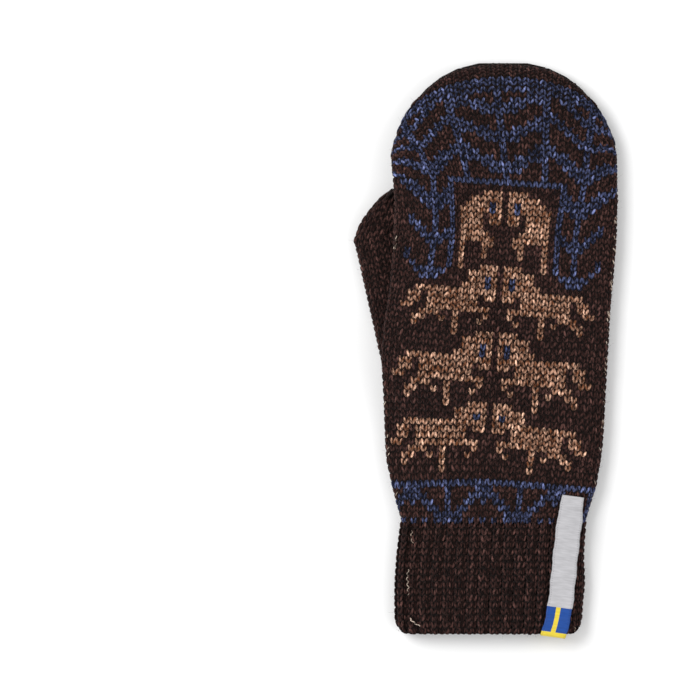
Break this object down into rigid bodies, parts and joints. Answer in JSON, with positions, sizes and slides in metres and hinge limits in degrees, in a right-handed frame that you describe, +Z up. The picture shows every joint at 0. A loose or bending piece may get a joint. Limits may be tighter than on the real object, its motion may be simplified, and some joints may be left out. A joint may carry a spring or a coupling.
{
  "type": "wool mitten",
  "caption": "Knitted wool mitten lying flat, back up: round hand tube, thumb folded under the palm, ribbed cuff and a ribbon label over the hem.",
  "frame": {"origin": "centre of the mitten's box, on the surface that it lies on", "axes": "+Z up from the back of the hand, +Y from the cuff to the finger end, +X away from the thumb"},
  "size_m": [0.1256, 0.2748, 0.0274],
  "materials": {
    "patterned_wool": "stocking stitch in dark brown, marled blue and tan wool, softly fuzzy",
    "brown_wool": "plain stocking stitch in dark brown wool",
    "ribbed_wool": "one by one rib in dark brown wool",
    "satin_ribbon": "woven satin ribbon, silver grey with a blue and yellow end"
  },
  "bodies": {
    "root": {"hand_back": "patterned_wool", "hand_palm": "patterned_wool", "thumb": "brown_wool", "cuff": "ribbed_wool", "label": "satin_ribbon"}
  },
  "joints": []
}
